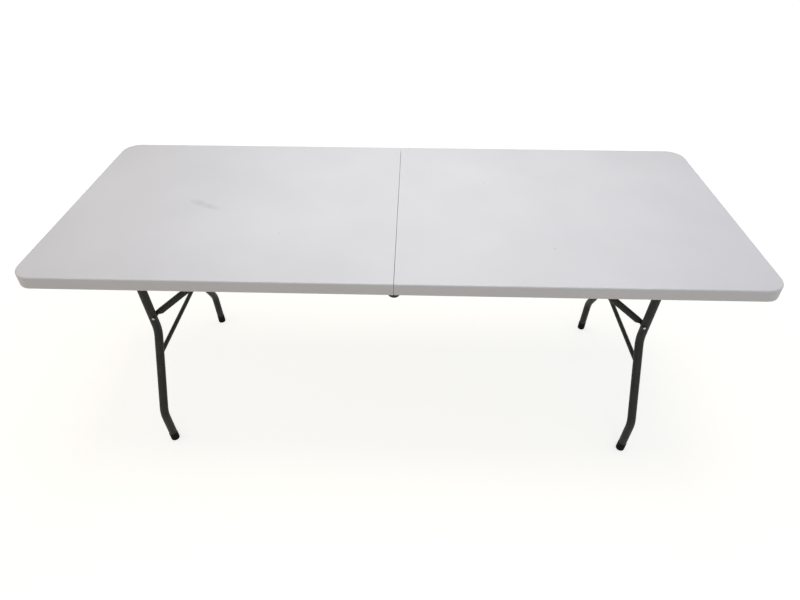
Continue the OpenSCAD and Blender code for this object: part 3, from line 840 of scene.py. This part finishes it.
BRACE_HALF_T = 6.5 * MM
BRACE_HALF_W = 6.5 * 1.35 * MM
SLEEVE_R = 10 * MM
SLEEVE_DROP = 2.9 * MM
SLEEVE_END = 110 * MM
SLEEVE_TAPER = 16 * MM
TONGUE_R = 7 * MM
BRACE_Y = 50 * MM
BRACE_BEND_R = 40 * MM
BRACE_STEP = 3 * MM
# Along the brace from the knee: end of the flat tongue, start of the rod and end of its slant
TONGUE_END = 3 * MM
TONGUE_BEND_R = 3 * MM
ROD_START = 14 * MM
ROD_BEND_R = 6 * MM
ROD_STEP_IN = 6 * MM
SLANT_END = 144 * MM
FLAT_TO_ROUND = 12 * MM
# Back along the brace from the elbow: its evenly ringed end, and its flat and round parts
ELBOW_END = 16 * MM
ELBOW_BEND_R = 3 * MM
ELBOW_FLAT = 6 * MM
ELBOW_TO_ROUND = 30 * MM
ELBOW_FLUSH = 0.3 * MM
FLAT_POWER = 0.45
LINK_HALF_W = 7 * MM
ELBOW_HEAD_R = 7 * MM
LINK_HEAD_R = 5 * MM
FLANGE_T = 2 * MM
FLANGE_CORNER_R = 4 * MM
BRACKET_T = 3 * MM
LUG_R = 10 * MM


def blend(a, b, t):
    return a + (b - a) * t


def rounded_route(points, radii, step):
    """The points of a route of straight stretches with rounded bends, about a step apart."""
    dense = []
    for i, here in enumerate(points):
        if i in (0, len(points) - 1):
            dense.append(here)
            continue
        back = (points[i - 1] - here).normalized()
        ahead = (points[i + 1] - here).normalized()
        turn = math.pi - back.angle(ahead)
        reach = radii[i - 1] * math.tan(turn / 2)
        for k in range(9):
            t = k / 8
            a, b = here + back * reach, here + ahead * reach
            dense.append(a * (1 - t) ** 2 + here * (2 * t * (1 - t)) + b * t ** 2)
    route = [dense[0]]
    for a, b in zip(dense, dense[1:]):
        count = max(1, round((b - a).length / step))
        route += [a + (b - a) * (k + 1) / count for k in range(count)]
    return route


def oval_ring(centre, across, up, half_w, half_t, power, steps=24):
    """A ring: an oval where power is 1, and nearer to a flat bar's oblong where it is less."""
    points = []
    for i in range(steps):
        a = 2 * math.pi * i / steps
        c, s = math.cos(a), math.sin(a)
        points.append(centre + across * (half_w * math.copysign(abs(c) ** power, c))
                      + up * (half_t * math.copysign(abs(s) ** power, s)))
    return points


def brace(side, row):
    """A brace: a thick tube next to the leg that narrows to an oval rod, bent towards the
    middle, and pressed flat at both ends."""
    outer_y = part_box("brace_far_right")[1].y
    tongue_y = outer_y - TONGUE_T / 2
    rod_y = outer_y - TONGUE_T - ROD_STEP_IN
    length = math.hypot(ELBOW.x - KNEE.x, ELBOW.z - KNEE.z)
    route = [Vector(p) for p in ((0, tongue_y), (TONGUE_END, tongue_y), (ROD_START, rod_y),
                                 (SLANT_END, BRACE_Y), (length - ELBOW_END, BRACE_Y),
                                 (length, BRACE_Y))]
    bends = (TONGUE_BEND_R, ROD_BEND_R, BRACE_BEND_R, ELBOW_BEND_R)
    centres = rounded_route(route, bends, BRACE_STEP)
    place = Matrix.Translation((KNEE.x, 0, KNEE.z)) @ Matrix.Rotation(math.pi + BRACE_ANGLE, 4, "Y")
    rings = []
    up = Vector((0, 0, 1))
    ends = [math.sin(math.radians(a)) for a in (8, 25, 45, 65)]

    def add(s, y, direction, scale):
        thick = 1 - smooth(SLEEVE_END, SLEEVE_END + SLEEVE_TAPER, s)
        full = smooth(1 * MM, FLAT_TO_ROUND, s) * smooth(ELBOW_FLAT, ELBOW_TO_ROUND, length - s)
        half_w = blend(TONGUE_T / 2, blend(BRACE_HALF_W, SLEEVE_R, thick), full)
        half_t = blend(TONGUE_R, blend(BRACE_HALF_T, SLEEVE_R, thick), full) * scale
        if s > length / 2:
            # The side that the link lies against stays flush, or the two would meet when stowed
            y += BRACE_HALF_W - half_w - ELBOW_FLUSH * (1 - full)
        centre = Vector((s, y, SLEEVE_DROP * thick * full))
        across = Vector((-direction.y, direction.x, 0))
        rings.append([place @ p for p in oval_ring(centre, across, up, half_w, half_t,
                                                   blend(FLAT_POWER, 1, full))])

    for e in ends:
        add(-TONGUE_R * math.sqrt(1 - e * e), tongue_y, Vector((1, 0)), e)
    for i, c in enumerate(centres):
        ahead = centres[min(i + 1, len(centres) - 1)] - centres[max(i - 1, 0)]
        add(c.x, c.y, ahead.normalized(), 1)
    for e in reversed(ends):
        add(length + TONGUE_R * math.sqrt(1 - e * e), BRACE_Y, Vector((1, 0)), e)
    bm = bmesh.new()
    loft(bm, rings)
    node = f"brace_{row}_{side}"
    piece_from(bm, "oval_" + node, side, row, side + "_brace", "grey_steel", node)


def link_bar(side, row):
    low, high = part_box("link_far_right")
    length = math.hypot(ELBOW.x - HANGER.x, ELBOW.z - HANGER.z)
    outline = arc(0, 0, LINK_HALF_W, 90, 270) + arc(length, 0, LINK_HALF_W, -90, 90)
    bm = sheet(outline, low.y, high.y, SHEET_EDGE)
    bm.transform(Matrix.Translation((HANGER.x, 0, HANGER.z)) @ Matrix.Rotation(BRACE_ANGLE, 4, "Y"))
    node = f"link_{row}_{side}"
    piece_from(bm, "flat_" + node, side, row, side + "_links", "grey_steel", node)


def link_bracket(side, row):
    """A bracket: a lug that the link hangs on and a flange screwed to the panel."""
    low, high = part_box("link_bracket_far_right")
    lug = arc(HANGER.x, HANGER.z, LUG_R, 180, 360) + [
        (HANGER.x + LUG_R, high.z), (HANGER.x - LUG_R, high.z)]
    bm = sheet(lug, low.y, low.y + BRACKET_T, SHEET_EDGE)
    r = FLANGE_CORNER_R
    half_w = (high.x - low.x) / 2
    flange = (arc(half_w - r, high.y - r, r, 0, 90, 4) + arc(-half_w + r, high.y - r, r, 90, 180, 4)
              + [(-half_w, low.y), (half_w, low.y)])
    plate = sheet([(x, -y) for x, y in flange], 0, FLANGE_T, SHEET_EDGE * 0.8)
    lay = Matrix.Translation((HANGER.x, 0, high.z - FLANGE_T)) @ Matrix.Rotation(math.pi / 2, 4, "X")
    merge_into(bm, plate, lay)
    node = f"link_bracket_{row}_{side}"
    piece_from(bm, "pressed_" + node, side, row, side + "_half", "grey_steel", node)


def link_rivets(side):
    """The rivets at the two ends of the links."""
    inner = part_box("link_far_right")[0].y
    for kind, at, head_r in (("elbow", ELBOW, ELBOW_HEAD_R), ("link", HANGER, LINK_HEAD_R)):
        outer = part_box(f"{kind}_rivets_right")[1].y - RIVET_HEAD_T
        bm = bmesh.new()
        lathe(bm, domed_head(head_r, RIVET_HEAD_T, RIVET_R), facing(at.x, outer, at.z))
        lathe(bm, [(RIVET_R, 0), (RIVET_R, outer - inner)], facing(at.x, inner, at.z))
        both_rows(bm)
        piece_from(bm, f"domed_{kind}_rivets_{side}", side, "far", frame_body(f"{kind}_rivets_{side}"),
                   "bright_zinc", f"{kind}_rivets_{side}")


for side in SIDES:
    for row in ROWS:
        rail(side, row)
        hinge_plate(side, row)
        foot_cap(side, row)
        brace(side, row)
        link_bar(side, row)
        link_bracket(side, row)
    hinge_rivets(side)
    rail_screws(side)
    bracket_screws(side)
    welds(side)
    knee_rivets(side)
    link_rivets(side)
for row in ROWS:
    hinge_pin(row)


# ------------------------------------------------------------ floor, light

def seen_white(tree):
    """1 for what the camera sees, straight, in a mirror or through glass; 0 for plain light."""
    path = node_in(tree, "ShaderNodeLightPath")
    seen = node_in(tree, "ShaderNodeMath", GREATER, i0=path.outputs["Is Camera Ray"],
                   i1=path.outputs["Is Glossy Ray"])
    return node_in(tree, "ShaderNodeMath", GREATER, i0=seen.outputs[0],
                   i1=path.outputs["Is Transmission Ray"]).outputs[0]


# The white that the floor shows: its strength far off and near the table, its colour, and the
# distance in millimetres over which it settles
FLOOR_GLOW = (1.0, 0.74)
FLOOR_GLOW_COLOUR = "#f9fdff"
FLOOR_GLOW_REACH = 3200
FLOOR_HALF = 15
FLOOR_WARMTH = "#ddd2bf"
WORLD_STRENGTH = 0.30
# Each lamp: name, place, aim, length, width, watts, colour
LAMPS = (("overhead", (0.1, 0.15, 2.1), (0.1, 0.15, 0.0), 1.6, 1.2, 15.4, "#ffffff"),
         ("front", (0.1, -3.3, 1.7), (0.0, 0.0, 0.45), 2.4, 1.0, 14.0, "#ffffff"),
         ("warm_left", (-2.3, -0.3, 1.7), (-0.6, -0.1, 0.7), 1.0, 1.0, 3.2, "#ffc98a"),
         ("cool_right", (2.2, -1.1, 1.7), (0.7, -0.3, 0.7), 1.0, 1.0, 1.8, "#8fa8ff"))


def add_stage():
    """A pale floor that the camera and reflections see as white, with the table's soft shadow."""
    bm = bmesh.new()
    bmesh.ops.create_grid(bm, x_segments=1, y_segments=1, size=FLOOR_HALF)
    mesh = bpy.data.meshes.new("floor")
    bm.to_mesh(mesh)
    bm.free()
    floor = bpy.data.objects.new("floor", mesh)
    bpy.context.scene.collection.objects.link(floor)
    material = bpy.data.materials.new("pale_floor")
    material.use_nodes = True
    tree = material.node_tree
    skin = tree.nodes["Principled BSDF"]
    skin.inputs["Base Color"].default_value = srgb(FLOOR_WARMTH)
    skin.inputs["Roughness"].default_value = 1.0
    skin.inputs["Specular IOR Level"].default_value = 0.0
    place = node_in(tree, "ShaderNodeTexCoord").outputs["Object"]
    around = mark(tree, place, (0, 0, 0), (FLOOR_GLOW_REACH,) * 3, 0)
    level = node_in(tree, "ShaderNodeMapRange", Value=around, From_Max=0.5, To_Min=FLOOR_GLOW[0],
                    To_Max=FLOOR_GLOW[1])
    shown = node_in(tree, "ShaderNodeMath", TIMES, i0=seen_white(tree), i1=level.outputs["Result"])
    glow = node_in(tree, "ShaderNodeEmission", Color=srgb(FLOOR_GLOW_COLOUR),
                   Strength=shown.outputs[0])
    both = node_in(tree, "ShaderNodeAddShader", i0=skin.outputs["BSDF"], i1=glow.outputs["Emission"])
    link(tree, both.outputs["Shader"], tree.nodes["Material Output"].inputs["Surface"])
    mesh.materials.append(material)


def add_lights():
    world = bpy.data.worlds.new("studio")
    world.use_nodes = True
    bpy.context.scene.world = world
    tree = world.node_tree
    back = tree.nodes["Background"]
    back.inputs["Color"].default_value = (1, 1, 1, 1)
    level = node_in(tree, "ShaderNodeMapRange", Value=seen_white(tree), To_Min=WORLD_STRENGTH)
    link(tree, level.outputs["Result"], back.inputs["Strength"])
    for name, place, aim, length, width, watts, colour in LAMPS:
        lamp = bpy.data.lights.new(name, "AREA")
        lamp.shape = "RECTANGLE"
        lamp.size = length
        lamp.size_y = width
        lamp.energy = watts
        lamp.color = srgb(colour)[:3]
        obj = bpy.data.objects.new(name, lamp)
        obj.location = place
        obj.rotation_euler = (Vector(aim) - Vector(place)).to_track_quat("-Z", "Y").to_euler()
        bpy.context.scene.collection.objects.link(obj)


add_stage()
add_lights()
bpy.context.scene.view_settings.view_transform = "Standard"
